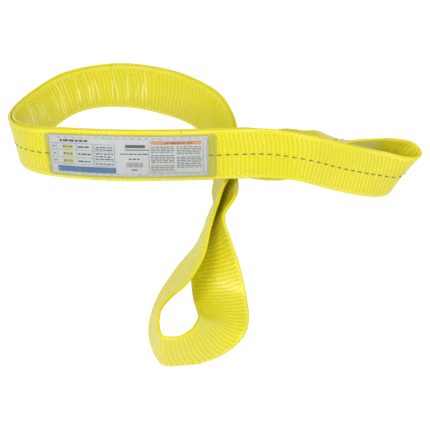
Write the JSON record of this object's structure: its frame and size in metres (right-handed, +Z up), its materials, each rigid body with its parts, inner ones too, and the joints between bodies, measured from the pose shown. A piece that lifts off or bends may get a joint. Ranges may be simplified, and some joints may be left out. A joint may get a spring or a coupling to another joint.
{
  "type": "web sling",
  "caption": "Flat synthetic web sling, two plies of yellow webbing sewn together, with a twisted eye at each end, laid in an open ring.",
  "frame": {"origin": "on the floor, under the centre of the box around the sling as it lies", "axes": "+X from the bend of the ring along the front run to the right eye, +Y from the lower eye to the back run, +Z up"},
  "size_m": [0.4134, 0.3547, 0.1006],
  "materials": {
    "webbing": "woven polyester, lemon yellow with a slight sheen",
    "warning_yarn": "red yarn inside the webbing",
    "tracer_yarn": "dark green yarn in dashes",
    "label_face": "white printed label",
    "label_film": "clear film",
    "label_thread": "dark sewing thread",
    "thread": "yellow sewing thread"
  },
  "bodies": {
    "front": {"front_outer_ply": "webbing", "front_inner_ply": "webbing", "front_outer_core": "warning_yarn", "front_inner_core": "warning_yarn", "front_tracer": "tracer_yarn", "label": "label_face", "label_cover": "label_film", "label_stitching": "label_thread", "front_body_seams": "thread", "right_throat_stitching": "thread"},
    "back": {"back_outer_ply": "webbing", "back_inner_ply": "webbing", "back_outer_core": "warning_yarn", "back_inner_core": "warning_yarn", "back_tracer": "tracer_yarn", "back_body_seams": "thread"},
    "tail": {"tail_outer_ply": "webbing", "tail_inner_ply": "webbing", "tail_outer_core": "warning_yarn", "tail_inner_core": "warning_yarn", "tail_tracer": "tracer_yarn", "tail_body_seams": "thread", "lower_throat_stitching": "thread"},
    "right_eye": {"right_eye_web": "webbing", "right_eye_core": "warning_yarn", "right_eye_tracer": "tracer_yarn"},
    "lower_eye": {"lower_eye_web": "webbing", "lower_eye_core": "warning_yarn", "lower_eye_tracer": "tracer_yarn"}
  },
  "joints": [
    {"name": "left_bend", "type": "hinge", "parent": "front", "child": "back", "pos_m": [-0.196, 0.071, 0.05], "axis": [0, 0, 1], "range_deg": [-12, 2]},
    {"name": "right_bend", "type": "hinge", "parent": "back", "child": "tail", "pos_m": [0, 0.115, 0.026], "axis": [0, 0, 1], "range_deg": [-10, 3]},
    {"name": "lower_eye_swing", "type": "hinge", "parent": "tail", "child": "lower_eye", "pos_m": [0.01, 0.0305, 0.0258], "axis": [0, 0, 1], "range_deg": [-10, 6]},
    {"name": "right_eye_swing", "type": "hinge", "parent": "front", "child": "right_eye", "pos_m": [0.024, 0.0235, 0.0763], "axis": [0, 0, 1], "range_deg": [-8, 10]}
  ]
}
